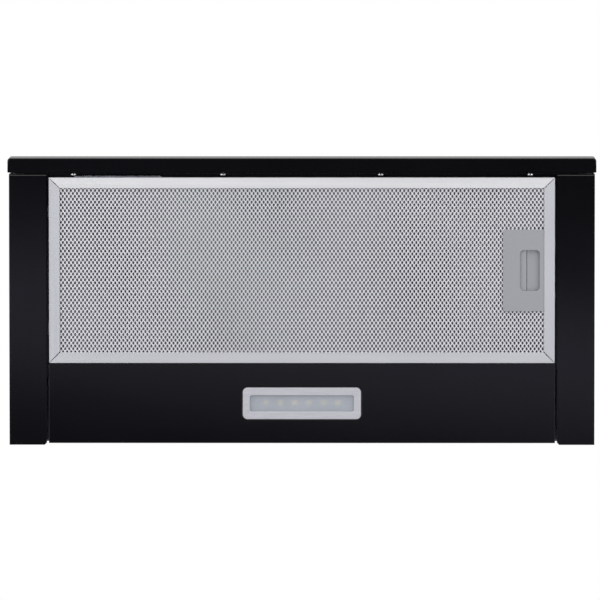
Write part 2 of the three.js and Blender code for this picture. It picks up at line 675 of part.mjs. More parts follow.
function frontPanel() {
  const half = WIDTH / 2;
  const radii = [PANEL.frontCorner, PANEL.frontCorner, PANEL.backCorner, PANEL.backCorner];
  const outline = rounded(across(half), [front, panelBack], radii);
  const inner = radii.map((radius) => Math.max(radius - SHEET, 0.2));
  const hollow = rounded(across(half - SHEET), [front + SHEET, panelBack - SHEET], inner);
  const window = [PANEL.flange, panelTop - PANEL.flange];
  return piece(
    "front_panel",
    cut(
      prism(outline, "xy", [0, panelTop]),
      prism(hollow, "xy", [SHEET, panelTop - SHEET]),
      block(across(half - PANEL.flange), [panelBack - 2 * SHEET, panelBack + 1], window),
      ...screwHoles(panelBack - 2 * SHEET, panelBack + 1),
    ),
    blackPaint,
  );
}

function drawerFrontRail() {
  const faces = [panelBack + GAP, panelBack + GAP + SHEET];
  const heights = [DRAWER_RAIL.bottom, CASING_HEIGHT - DRAWER_RAIL.belowCasing];
  const web = block(across(bodyHalf - DRAWER_RAIL.inset), faces, heights);
  const ledge = block(across(drawerHalf), [faces[0], filterFront + LEDGE], [ledgeBottom, ledgeTop]);
  const holes = screwHoles(faces[0] - 1, faces[1] + 1);
  return piece("drawer_front_rail", cut(join(web, ledge), ...holes), blackPaint);
}

function drawerBackRail() {
  const ledge = block(across(drawerHalf), [filterBack - LEDGE - 1, drawerBack], [ledgeBottom, ledgeTop]);
  const web = block(across(drawerHalf), [drawerBack - SHEET, drawerBack], [ledgeBottom, drawerSideTop]);
  return piece("drawer_back_rail", join(ledge, web), zinc);
}

// Each side folds from the slide, over the lip of the channel, down to a lip beside the filter.
function drawerSides() {
  const section = folded(
    [
      [drawerWeb, drawerSideTop],
      [drawerWeb, drawerFlange],
      [keeper, drawerFlange],
      [keeper, drawerFlange - KEEPER_HEIGHT],
    ],
    SHEET,
  );
  const bar = prism(section, "xz", [bodyFront, drawerBack]);
  const through = [keeper - 1, keeper + SHEET + 0.5];
  const slots = (spacing, width, z) =>
    [-1, 1].map((side) => {
      const y = filterMiddle + (side * spacing) / 2;
      return block(through, [y - width / 2 - 0.6, y + width / 2 + 0.6], z);
    });
  const latchZ = FILTER.lift + latchArm[0];
  const armHeights = [latchZ - 0.5, latchZ + LATCH.armThick + 0.5];
  const tongueSlots = slots(LATCH.armSpacing, LATCH.armWidth, armHeights);
  const hookZ = FILTER.lift + HOOK.height;
  const hookSlots = slots(HOOK.spacing, HOOK.width, [hookZ - 0.5, hookZ + HOOK.thick + 1]);
  const left = piece("drawer_side_left", cut(bar, ...hookSlots), zinc);
  left.scale.x = -1;
  return [left, piece("drawer_side_right", cut(bar, ...tongueSlots), zinc)];
}

function frontScrews() {
  const face = panelBack + 2 * GAP + SHEET;
  return SCREW_PLACES.map((x, i) => {
    const head = rod("y", SCREW.head, [face, face + SCREW.headThick], [x, SCREW.height], 16);
    const shank = rod("y", SCREW.shank, [face - SCREW.length, face + 0.5], [x, SCREW.height], 12);
    return piece(`front_panel_screw_${i + 1}`, join(head, shank), brightSteel);
  });
}

// The springy steel strip in front of the filter that holds it against the back of its seat.
function filterClip() {
  const left = -filterHalf + CLIP.fromEnd;
  const x = [left, left + CLIP.length];
  const backFace = filterFront - CLIP.gap;
  const foot = block(x, [backFace - CLIP.foot, backFace], [CLIP.lift, CLIP.lift + CLIP.sheet]);
  const faces = [backFace - CLIP.foot, backFace - CLIP.foot + CLIP.sheet];
  const leg = block(x, faces, [CLIP.lift, ledgeBottom - GAP]);
  return piece("filter_clip", join(foot, leg), brightSteel);
}

// ---- Controls on the drawer, behind the front panel ----

const controlsTop = CASING_HEIGHT - CONTROLS.belowCasing;
const controlsX = [drawerHalf - CONTROLS.fromEnd - CONTROLS.width, drawerHalf - CONTROLS.fromEnd];
const controlsY = [panelBack + 2 * GAP + SHEET, panelBack + 2 * GAP + SHEET + CONTROLS.depth];
const controlsMiddle = [(controlsX[0] + controlsX[1]) / 2, (controlsY[0] + controlsY[1]) / 2];

function slider(name, { place }, material) {
  const [knobX, knobY, knobZ] = SLIDER.knob;
  const [footX, footY, footZ] = SLIDER.foot;
  const top = controlsTop;
  const under = top - CONTROLS.wall - SLIDER.clear;
  const [stemX, stemY] = SLIDER.stem;
  const solid = join(
    block(across(knobX / 2), across(knobY / 2), [top + SLIDER.clear, top + SLIDER.clear + knobZ]),
    block(across(stemX / 2), across(stemY / 2), [under - footZ, top + SLIDER.clear + 1]),
    block(across(footX / 2), across(footY / 2), [under - footZ, under]),
  );
  const mesh = piece(name, solid, material);
  mesh.position.set(controlsMiddle[0] + place, controlsMiddle[1], 0);
  return mesh;
}

function controls() {
  const outside = block(controlsX, controlsY, [ledgeTop + GAP, controlsTop]);
  const shrink = ([a, b]) => [a + CONTROLS.wall, b - CONTROLS.wall];
  const inside = block(shrink(controlsX), shrink(controlsY), [0, controlsTop - CONTROLS.wall]);
  const slots = [SPEED, LIGHT].map(({ place, travel }) => {
    const left = controlsMiddle[0] + place - SLIDER.stem[0] / 2 - SLIDER.clear;
    const x = [left, left + SLIDER.stem[0] + travel + 2 * SLIDER.clear];
    const half = SLIDER.stem[1] / 2 + SLIDER.clear;
    return block(x, [controlsMiddle[1] - half, controlsMiddle[1] + half], [0, controlsTop + 1]);
  });
  return [
    piece("control_box", cut(outside, inside, ...slots), blackPlastic),
    slider("speed_slider", SPEED, silverPlastic),
    slider("light_slider", LIGHT, silverPlastic),
  ];
}

// ---- Grease filter, drawn about its middle with z = 0 on its underside ----

const latchArm = [HANDLE.sink + HANDLE.wall + 2, HANDLE.sink + HANDLE.wall + 2 + LATCH.armThick];

// One side of the frame, its outer face towards -Y, mitred at both ends. extra changes the straight bar.
function frameSide(name, length, turn, reach, extra = (bar) => bar) {
  const { height, face, sheet, top, mitre } = FILTER;
  const section = folded(
    [
      [top, height],
      [0, height],
      [0, 0],
      [face, 0],
    ],
    sheet,
  );
  const half = length / 2;
  const bar = prism(section, "yz", across(half));
  const ends = [-1, 1].map((side) => {
    const corner = [
      [side * (half - mitre / 2), -1],
      [side * (half + 5), -1],
      [side * (half + 5), face + 5],
      [side * (half - mitre / 2 - face - 6), face + 5],
    ];
    corner[0][0] += side;
    return prism(polygon(corner), "xy", [-1, height + 1]);
  });
  const mesh = piece(name, extra(cut(bar, ...ends)), aluminium);
  mesh.rotation.z = turn;
  mesh.position.set(Math.sin(turn) * reach, -Math.cos(turn) * reach, 0);
  return mesh;
}

function filterFrame() {
  const quarter = Math.PI / 2;
  const withHooks = (bar) => {
    const hooks = [-1, 1].map((side) => {
      const x = (side * HOOK.spacing) / 2;
      const z = [HOOK.height, HOOK.height + HOOK.thick];
      return block([x - HOOK.width / 2, x + HOOK.width / 2], [-HOOK.reach, 3], z);
    });
    return join(bar, ...hooks);
  };
  const withSlots = (bar) => {
    const slots = [-1, 1].map((side) => {
      const x = (side * LATCH.armSpacing) / 2;
      const half = LATCH.armWidth / 2 + 0.5;
      return block([x - half, x + half], [-1, 2], [latchArm[0] - 0.5, latchArm[1] + 0.5]);
    });
    return cut(bar, ...slots);
  };
  return [
    frameSide("filter_frame_front", 2 * filterHalf, 0, filterDepth / 2),
    frameSide("filter_frame_right", filterDepth, quarter, filterHalf, withSlots),
    frameSide("filter_frame_back", 2 * filterHalf, 2 * quarter, filterDepth / 2),
    frameSide("filter_frame_left", filterDepth, -quarter, filterHalf, withHooks),
  ];
}

function filterMeshes() {
  const inset = FILTER.face - FILTER.tuck;
  const x = across(filterHalf - inset);
  const y = across(filterDepth / 2 - inset);
  const roomY = across(HANDLE.length / 2 + GAP);
  const room = block([handleLeft - GAP, filterHalf], roomY, [-1, FILTER.height + 1]);
  const seat = FILTER.sheet + GAP;
  const core = [seat + MESH_THICK + GAP, FILTER.height - FILTER.sheet - GAP];
  return [
    piece("filter_mesh", cut(block(x, y, [seat, seat + MESH_THICK]), room), aluminium),
    piece("filter_core", cut(block(x, y, core), room), aluminium),
  ];
}

const handleTop = FILTER.height - FILTER.sheet - 0.2;
const fingerRight = handleRight - FINGER.fromRight;
const fingerLeft = fingerRight - FINGER.width;
const cavity = {
  x: [handleLeft + 2, handleRight + 1],
  y: across(HANDLE.length / 2 - 8),
  z: [HANDLE.sink + HANDLE.wall, handleTop - 1],
};

function filterHandle() {
  const half = HANDLE.length / 2;
  const radii = [HANDLE.corner, 0.2, 0.2, HANDLE.corner];
  const outline = rounded([handleLeft, handleRight], across(half), radii);
  const finger = rounded([fingerLeft, fingerRight], across(FINGER.length / 2), FINGER.corner);
  return piece(
    "filter_handle",
    cut(
      prism(outline, "xy", [HANDLE.sink, handleTop]),
      block(cavity.x, cavity.y, cavity.z),
      prism(finger, "xy", [-1, cavity.z[0] + 1]),
    ),
    greyPlastic,
  );
}

const latchLeft = cavity.x[0] + SPRING.room;

function filterLatch() {
  const z = [cavity.z[0] + LATCH.clear, cavity.z[1] - LATCH.clear];
  const reach = LATCH.armSpacing / 2 + LATCH.armWidth / 2;
  const bar = block([latchLeft, latchLeft + LATCH.bar], across(reach), z);
  const arms = [-1, 1].map((side) => {
    const y = (side * LATCH.armSpacing) / 2;
    return block([latchLeft, tongueTip], [y - LATCH.armWidth / 2, y + LATCH.armWidth / 2], latchArm);
  });
  return piece("filter_latch", join(bar, ...arms), greyPlastic);
}

class Coil extends THREE.Curve {
  getPoint(t) {
    const [from, to] = [cavity.x[0] + GAP + SPRING.wire, latchLeft - GAP - SPRING.wire];
    const angle = t * SPRING.turns * 2 * Math.PI;
    const z = (cavity.z[0] + cavity.z[1]) / 2;
    return new THREE.Vector3(
      from + (to - from) * t,
      SPRING.radius * Math.cos(angle),
      z + SPRING.radius * Math.sin(angle),
    );
  }
}

function latchSpring() {
  const wire = Array.from({ length: SPRING.sides }, (_, i) => {
    const angle = (i * 2 * Math.PI) / SPRING.sides;
    return [SPRING.wire * Math.cos(angle), SPRING.wire * Math.sin(angle)];
  });
  const steps = Math.round(SPRING.turns * SPRING.stepsPerTurn);
  const options = { steps, extrudePath: new Coil(), bevelEnabled: false };
  return piece("latch_spring", new THREE.ExtrudeGeometry(polygon(wire), options), brightSteel);
}

// ---- The hood ----

const lamp = group(0, lampMiddle, BACK_PLATE.lift, lampBezel(), lampLens(), lampTray(), ledBoard());
const fanPieces = [...fanScrolls(), impeller(), motor(), motorShaft(), motorBracket()];
const fan = group(0, fanMiddle, fanHeight, fanPieces);
const flaps = [flap("flap_front", 0), flap("flap_back", Math.PI)];
const outlet = group(0, outletMiddle, BOX_HEIGHT, collar(), flapPin(), flaps);
const filterPieces = [filterFrame(), filterMeshes(), filterHandle(), filterLatch(), latchSpring()].flat();
const filter = group(0, filterMiddle, FILTER.lift, filterPieces);

const hood = new THREE.Group();
hood.add(
  ...sideChannels(),
  deckPlate(),
  backPlate(),
  lamp,
  motorBoxWalls(),
  motorBoxTop(),
  ...cabinetBrackets(),
  ...bracketScrews(),
  group(0, boxMiddle, boxBottom, innerFilter()),
  fan,
  outlet,
  ...electrics(),
  ...drawerSwitch(),
  ...slides(),
  frontPanel(),
  drawerFrontRail(),
  drawerBackRail(),
  ...drawerSides(),
  ...frontScrews(),
  filterClip(),
  ...controls(),
  filter,
);

export default hood;
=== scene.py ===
"""A built-in pull-out cooker hood, closed and seen from below: its looks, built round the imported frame."""

import json
import math

import bpy
from mathutils import Matrix, Quaternion, Vector


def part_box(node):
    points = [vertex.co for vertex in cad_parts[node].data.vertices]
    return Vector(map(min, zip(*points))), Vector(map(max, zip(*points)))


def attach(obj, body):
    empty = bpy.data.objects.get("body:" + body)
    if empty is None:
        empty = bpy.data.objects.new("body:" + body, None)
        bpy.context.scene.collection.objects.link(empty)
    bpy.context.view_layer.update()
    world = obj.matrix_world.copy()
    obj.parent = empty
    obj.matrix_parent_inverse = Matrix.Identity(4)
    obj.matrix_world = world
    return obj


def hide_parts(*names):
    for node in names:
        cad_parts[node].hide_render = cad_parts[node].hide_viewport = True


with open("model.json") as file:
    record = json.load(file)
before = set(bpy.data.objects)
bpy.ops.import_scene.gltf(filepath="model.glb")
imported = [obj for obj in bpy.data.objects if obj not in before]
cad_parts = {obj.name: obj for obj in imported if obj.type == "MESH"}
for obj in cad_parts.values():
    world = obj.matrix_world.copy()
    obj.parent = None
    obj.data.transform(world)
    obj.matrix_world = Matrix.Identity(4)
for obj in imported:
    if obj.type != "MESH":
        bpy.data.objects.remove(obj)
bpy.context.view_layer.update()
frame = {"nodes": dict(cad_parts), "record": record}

MM = 0.001
SAME_PLACE = 0.01 * MM
ORIGIN = Vector((0, 0, 0))
RIGHT, BACK, UP = Vector((1, 0, 0)), Vector((0, 1, 0)), Vector((0, 0, 1))

BODY_OF = {node: body for body, nodes in frame["record"]["behaviour"]["bodies"].items() for node in nodes}


# ---- Shader maths ----


class Wire:
    """An output socket. Arithmetic on it adds Math nodes."""

    def __init__(self, paint, socket):
        self.paint = paint
        self.socket = socket

    def math(self, operation, *values):
        return self.paint.node("ShaderNodeMath", {"operation": operation}, *values)

    def __add__(self, other):
        return self.math("ADD", self, other)

    def __sub__(self, other):
        return self.math("SUBTRACT", self, other)

    def __rsub__(self, other):
        return self.math("SUBTRACT", other, self)

    def __mul__(self, other):
        return self.math("MULTIPLY", self, other)

    def __lt__(self, other):
        return self.math("LESS_THAN", self, other)

    def clamped(self):
        return self.paint.node("ShaderNodeClamp", {}, self)

    __radd__ = __add__
    __rmul__ = __mul__


class Paint:
    """One material: a Principled shader and the nodes that feed it."""

    def __init__(self, name):
        self.material = bpy.data.materials.new(name)
        self.material.use_nodes = True
        self.tree = self.material.node_tree
        self.shader = self.tree.nodes["Principled BSDF"]
        self.object_coordinates = self.node("ShaderNodeTexCoord", {}, output="Object")

    def node(self, kind, settings, *values, output=0, **named):
        """Adds a node, applies its settings and fills its sockets in order, or by name with _ for a space."""
        made = self.tree.nodes.new(kind)
        for key, value in settings.items():
            setattr(made, key, value)
        for index, value in enumerate(values):
            self.feed(made.inputs[index], value)
        for key, value in named.items():
            self.feed(made.inputs[key.replace("_", " ")], value)
        return Wire(self, made.outputs[output])

    def feed(self, socket, value):
        if isinstance(value, Wire):
            self.tree.links.new(value.socket, socket)
        else:
            socket.default_value = value

    def at(self, scale=(1, 1, 1), turn=(0, 0, 0)):
        """Object coordinates, turned and then stretched."""
        turned = self.node("ShaderNodeMapping", {}, self.object_coordinates, Rotation=turn)
        return self.node("ShaderNodeMapping", {}, turned, Scale=scale)

    def noise(self, scale, detail=3.0, roughness=0.55, vector=None):
        place = vector or self.object_coordinates
        return self.node("ShaderNodeTexNoise", {}, place, Scale=scale, Detail=detail, Roughness=roughness)

    def mix(self, share, low, high):
        """One colour going over into another as share goes from 0 to 1."""
        node = self.node("ShaderNodeMix", {"data_type": "RGBA"}, share).socket.node
        for name, value in (("A", low), ("B", high)):
            socket = [s for s in node.inputs if s.name == name and s.type == "RGBA"][0]
            self.feed(socket, value if isinstance(value, Wire) else (*value, 1))
        output = [s for s in node.outputs if s.type == "RGBA"][0]
        return Wire(self, output)

    def bump(self, height, distance, strength=1.0):
        return self.node("ShaderNodeBump", {}, Height=height, Distance=distance, Strength=strength)

    def done(self, **sockets):
        """Feeds the Principled shader and gives the material."""
        for key, value in sockets.items():
            if isinstance(value, tuple) and len(value) == 3:
                value = (*value, 1)
            self.feed(self.shader.inputs[key.replace("_", " ")], value)
        return self.material


# ---- Finishes ----


def satin_black_paint():
    """Powder coat: a fine orange peel, with slight cloudiness in its gloss."""
    paint = Paint("satin_black_paint")
    peel = paint.noise(900, 2)
    cloud = paint.noise(9, 3)
    speck = paint.noise(2600, 1)
    color = paint.mix(cloud, (0.0012, 0.0012, 0.0018), (0.0024, 0.0024, 0.0034))
    return paint.done(
        Base_Color=color,
        Roughness=0.14 + cloud * 0.05 + speck * 0.02,
        Specular_IOR_Level=0.5,
        Normal=paint.bump(peel, 0.00003, 0.35),
    )


def brushed_aluminium(name, along, color):
    """Extruded or rolled aluminium: streaks along X (0) or Y (1), broken by faint handling marks."""
    paint = Paint(name)
    stretch = tuple(4 if axis == along else 420 for axis in range(3))
    streaks = paint.noise(1.0, 4, 0.6, paint.at(stretch))
    cloud = paint.noise(14, 3)
    low = tuple(channel * 0.86 for channel in color)
    return paint.done(
        Base_Color=paint.mix(streaks * 0.6 + cloud * 0.4, low, color),
        Metallic=0.55,
        Roughness=0.38 + streaks * 0.16 + cloud * 0.06,
        Normal=paint.bump(streaks, 0.00002, 0.4),
    )


def mesh_aluminium(name, color, shade):
    """Bare expanded foil: bright where the cutter burnished it, a little duller from strand to strand."""
    paint = Paint(name)
    strand = paint.noise(420, 2)
    cloud = paint.noise(22, 3)
    low = tuple(channel * shade for channel in color)
    return paint.done(
        Base_Color=paint.mix(strand * 0.65 + cloud * 0.35, low, color),
        Metallic=0.5,
        Roughness=0.26 + strand * 0.18,
        Normal=paint.bump(paint.noise(1500, 2), 0.00002, 0.5),
    )


def galvanised_sheet():
    """Hot-dip zinc: flat crystals of slightly different greys, and a dull bloom."""
    paint = Paint("galvanised_sheet")
    warp = paint.noise(60, 2)
    spangle = paint.node("ShaderNodeTexVoronoi", {}, paint.object_coordinates, Scale=230, output="Color")
    grey = paint.node("ShaderNodeSeparateColor", {}, spangle, output=0)
    bloom = paint.noise(7, 4, 0.6)
    mask = (grey * 0.4 + warp * 0.25 + bloom * 0.4).clamped()
    return paint.done(
        Base_Color=paint.mix(mask, (0.46, 0.47, 0.49), (0.60, 0.61, 0.63)),
        Metallic=0.85,
        Roughness=0.36 + grey * 0.12 + bloom * 0.14,
        Normal=paint.bump(grey * 0.5 + paint.noise(700, 2) * 0.5, 0.00002, 0.4),
    )


def bright_steel():
    """Zinc-plated screws, springs, pins and slides, with fine turning marks and a few dull spots."""
    paint = Paint("bright_steel")
    marks = paint.noise(1100, 3)
    spots = paint.noise(120, 3)
    return paint.done(
        Base_Color=paint.mix(spots, (0.66, 0.67, 0.69), (0.86, 0.87, 0.89)),
        Metallic=1.0,
        Roughness=0.16 + marks * 0.12 + spots * 0.08,
        Normal=paint.bump(marks, 0.00001, 0.4),
    )


def moulded_plastic(name, color, roughness, grain=0.00003, change=0.82):
    """Injection-moulded plastic: a fine spark-eroded grain and a faint unevenness of colour."""
    paint = Paint(name)
    grains = paint.noise(1500, 3)
    cloud = paint.noise(18, 3)
    low = tuple(channel * change for channel in color)
    return paint.done(
        Base_Color=paint.mix(grains * 0.4 + cloud * 0.6, low, color),
        Roughness=roughness + grains * 0.12,
        Normal=paint.bump(grains, grain, 0.6),
    )


def silver_bezel():
    """Silver lacquer on plastic, brushed along its length, with fine dark flecks in the brushing."""
    paint = Paint("silver_bezel")
    brushed = paint.noise(1.0, 5, 0.65, paint.at((60, 900, 900)))
    flecks = paint.noise(1.0, 3, 0.5, paint.at((240, 1300, 1300)))
    dark = ((flecks - 0.60) * 6).clamped()
    return paint.done(
        Base_Color=paint.mix(brushed * 0.75 + dark * -0.35 + 0.2, (0.38, 0.38, 0.42), (0.66, 0.66, 0.71)),
        Metallic=0.35,
        Roughness=0.42 + brushed * 0.15,
        Normal=paint.bump(brushed, 0.00003, 0.5),
    )


def frosted_lens():
    """A frosted diffuser: milky, with a soft grain, letting the LEDs behind it show faintly."""
    paint = Paint("frosted_lens")
    frost = paint.noise(900, 3)
    cloud = paint.noise(45, 2)
    return paint.done(
        Base_Color=paint.mix(cloud, (0.31, 0.33, 0.365), (0.39, 0.41, 0.46)),
        Roughness=0.38 + frost * 0.2,
        Alpha=0.6,
        Normal=paint.bump(frost, 0.00003, 0.5),
    )


def led_board():
    """White solder mask with yellowish phosphor where the chips stand, and a painted glow over the whole
    board, bluish grey on the mask and warm on the chips, though the lamp is off.
    """
    paint = Paint("led_board")
    chip_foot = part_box("led_board")[0].z + 0.3 * MM
    height = paint.node("ShaderNodeSeparateXYZ", {}, paint.object_coordinates, output="Z")
    chip = height < chip_foot
    grain = paint.noise(700, 2)
    return paint.done(
        Base_Color=paint.mix(chip * (0.8 + grain * 0.2), (0.72, 0.72, 0.70), (0.85, 0.62, 0.16)),
        Roughness=0.45 + grain * 0.1,
        # Painted glow: the whole board glows, bluish grey on the mask and warm on the chips, though the lamp
        # is off.
        Emission_Color=paint.mix(chip, (0.30, 0.33, 0.38), (0.9, 0.80, 0.5)),
        Emission_Strength=0.9,
    )


BLACK_PAINT = satin_black_paint()
# The front profile is the same aluminium as the others, painted lighter as painted light from the front.
FRONT_PROFILE_PAINTED_LIGHT = brushed_aluminium("front_profile_aluminium_painted_light", 0, (0.97, 0.975, 1.0))
BACK_PROFILE = brushed_aluminium("back_profile_aluminium", 0, (0.77, 0.78, 0.82))
SIDE_PROFILE = brushed_aluminium("side_profile_aluminium", 1, (0.75, 0.76, 0.81))
FACE_MESH = mesh_aluminium("face_mesh_aluminium", (0.955, 0.95, 1.0), 0.86)
# The inner layers are the same foil as the face mesh, painted dark as painted shade inside the filter and the
# motor box.
INNER_MESH_PAINTED_SHADE = mesh_aluminium("inner_mesh_aluminium_painted_shade", (0.30, 0.30, 0.33), 0.7)
ZINC = galvanised_sheet()
STEEL = bright_steel()
GREY_PLASTIC = moulded_plastic("grey_plastic", (0.275, 0.28, 0.30), 0.42, change=0.92)
SILVER = silver_bezel()
BLACK_PLASTIC = moulded_plastic("black_plastic", (0.016, 0.016, 0.018), 0.42)
WHITE_PLASTIC = moulded_plastic("white_plastic", (0.76, 0.76, 0.73), 0.4, change=0.94)
LENS = frosted_lens()
LED_BOARD_PAINTED_GLOW = led_board()


# ---- Modelling ----


def only(piece):
    """Selects one object and makes it the active one."""
    bpy.ops.object.select_all(action="DESELECT")
    piece.select_set(True)
    bpy.context.view_layer.objects.active = piece


def edit(piece, mode="FACE"):
    """Goes into edit mode with nothing selected."""
    only(piece)
    bpy.ops.object.mode_set(mode="EDIT")
    bpy.ops.mesh.select_mode(type=mode)
    bpy.ops.mesh.select_all(action="DESELECT")


def close():
    """Leaves edit mode."""
    bpy.ops.object.mode_set(mode="OBJECT")


def pick(piece, test, kind="polygons"):
    """Selects the polygons, edges or vertices that pass a test, leaving edit mode and going back."""
    bpy.ops.mesh.select_all(action="DESELECT")
    close()
    for element in getattr(piece.data, kind):
        element.select = test(element)
    bpy.ops.object.mode_set(mode="EDIT")


def modify(piece, kind, **settings):
    """Adds a modifier and applies it."""
    only(piece)
    modifier = piece.modifiers.new(kind.lower(), kind)
    for key, value in settings.items():
        setattr(modifier, key, value)
    bpy.ops.object.modifier_apply(modifier=modifier.name)


def settle(piece):
    """Puts an object's place into its mesh."""
    only(piece)
    bpy.ops.object.transform_apply(location=True, rotation=True, scale=True)
    return piece


def slid(point, axis, value):
    """A point slid along one axis, so that its place there is the value."""
    place = Vector(point)
    place[axis] = value
    return place


def joined(name, pieces):
    """Makes one piece of several."""
    bpy.ops.object.select_all(action="DESELECT")
    for piece in pieces:
        piece.select_set(True)
    bpy.context.view_layer.objects.active = pieces[0]
    bpy.ops.object.join()
    pieces[0].name = name
    return pieces[0]


def named(piece, name):
    """Names an object and its mesh."""
    piece.name = name
    piece.data.name = name
    return piece


def primitive_box(name, low, high):
    """A box between two corners, ready to be shaped."""
    low, high = Vector(low), Vector(high)
    bpy.ops.object.select_all(action="DESELECT")
    bpy.ops.mesh.primitive_cube_add(size=1, location=(low + high) / 2)
    piece = bpy.context.object
    piece.scale = high - low
    return named(settle(piece), name)


AXIS_TURN = {"x": (0, math.pi / 2, 0), "y": (math.pi / 2, 0, 0), "z": (0, 0, 0)}


def primitive_rod(name, axis, radius, depth, middle, vertices=32):
    """A cylinder along an axis, ready to be shaped."""
    bpy.ops.object.select_all(action="DESELECT")
    bpy.ops.mesh.primitive_cylinder_add(
        vertices=vertices, radius=radius, depth=depth, location=middle, rotation=AXIS_TURN[axis]
    )
    return named(settle(bpy.context.object), name)


def cad_copy(node, name):
    """A copy of a CAD node's mesh with its loose triangles merged and its flats made whole."""
    mesh = frame["nodes"][node].data.copy()
    mesh.materials.clear()
    piece = bpy.data.objects.new(name, mesh)
    bpy.context.scene.collection.objects.link(piece)
    only(piece)
    if mesh.has_custom_normals:
        bpy.ops.mesh.customdata_custom_splitnormals_clear()
    bpy.ops.object.mode_set(mode="EDIT")
    bpy.ops.mesh.select_all(action="SELECT")
    bpy.ops.mesh.remove_doubles(threshold=1e-6)
    bpy.ops.mesh.dissolve_limited(angle_limit=math.radians(0.5))
    close()
    return piece


def soften(piece, width, segments=2, angle=40):
    """Rounds the piece's edges and lets the light run smoothly over them."""
    modify(
        piece,
        "BEVEL",
        width=width,
        segments=segments,
        limit_method="ANGLE",
        angle_limit=math.radians(angle),
        harden_normals=False,
        miter_outer="MITER_ARC",
    )
    smooth(piece)


def smooth(piece, angle=38):
    """Lets the light run smoothly over edges flatter than an angle in degrees, and keeps the flats flat."""
    only(piece)
    bpy.ops.object.shade_smooth_by_angle(angle=math.radians(angle))
    modify(piece, "WEIGHTED_NORMAL", keep_sharp=True, weight=60)


def stands_for(piece, material, *nodes):
    """The finished piece takes the CAD nodes' place, on their body and with their finish."""
    piece.data.materials.clear()
    piece.data.materials.append(material)
    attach(piece, BODY_OF[nodes[0]])
    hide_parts(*nodes)


def rides_with(piece, material, node):
    """A finished extra piece moves with a CAD node's body."""
    piece.data.materials.clear()
    piece.data.materials.append(material)
    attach(piece, BODY_OF[node])


def softened(node, material, width, segments=2):
    """A CAD node's own shape with its edges rounded."""
    piece = cad_copy(node, node + "_shape")
    soften(piece, width, segments)
    stands_for(piece, material, node)


# ---- Front panel ----


def front_panel():
    """A folded steel tray: its outer edges are rounded by the press, its corners welded and ground."""
    low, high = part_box("front_panel")
    piece = cad_copy("front_panel", "front_panel_shape")
    near_outside = 3.2 * MM
    near_back = 1.2 * MM
    bend = 2.4 * MM

    def outside_bend(edge):
        ends = [piece.data.vertices[i].co for i in edge.vertices]
        if abs(ends[0].z - ends[1].z) > SAME_PLACE:
            return False
        for p in ends:
            at_rim = min(abs(p.z - low.z), abs(p.z - high.z)) < SAME_PLACE
            inward = min(p.x - low.x, high.x - p.x, p.y - low.y, high.y - p.y)
            if not at_rim or inward > near_outside or high.y - p.y < near_back:
                return False
        return True

    edit(piece, "EDGE")
    pick(piece, outside_bend, "edges")
    bpy.ops.mesh.bevel(offset=bend, segments=6, affect="EDGES", clamp_overlap=True)
    close()
    smooth(piece, 30)
    stands_for(piece, BLACK_PAINT, "front_panel")


# ---- Lower casing ----


def side_channels():
    """Bent sheet with a wide bend radius along the front edge, where the light catches."""
    bend = 2.2 * MM
    for node in ("side_channel_left", "side_channel_right"):
        low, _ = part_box(node)
        piece = cad_copy(node, node + "_shape")

        def front_bend(edge):
            ends = [piece.data.vertices[i].co for i in edge.vertices]
            return all(abs(p.y - low.y) < SAME_PLACE and abs(p.z - low.z) < SAME_PLACE for p in ends)

        edit(piece, "EDGE")
        pick(piece, front_bend, "edges")
        bpy.ops.mesh.bevel(offset=bend, segments=5, affect="EDGES")
        close()
        soften(piece, 0.35 * MM, 2, 60)
        stands_for(piece, BLACK_PAINT, node)


# ---- Grease filter ----

MESH_PITCH = 4.08 * MM
MESH_ROW = 2.93 * MM


def lay_mesh(layer, piece, node):
    """The first layer takes the place of the CAD node's slab, and the others ride with it."""
    if layer == 1:
        stands_for(piece, INNER_MESH_PAINTED_SHADE, node)
    else:
        rides_with(piece, INNER_MESH_PAINTED_SHADE, node)


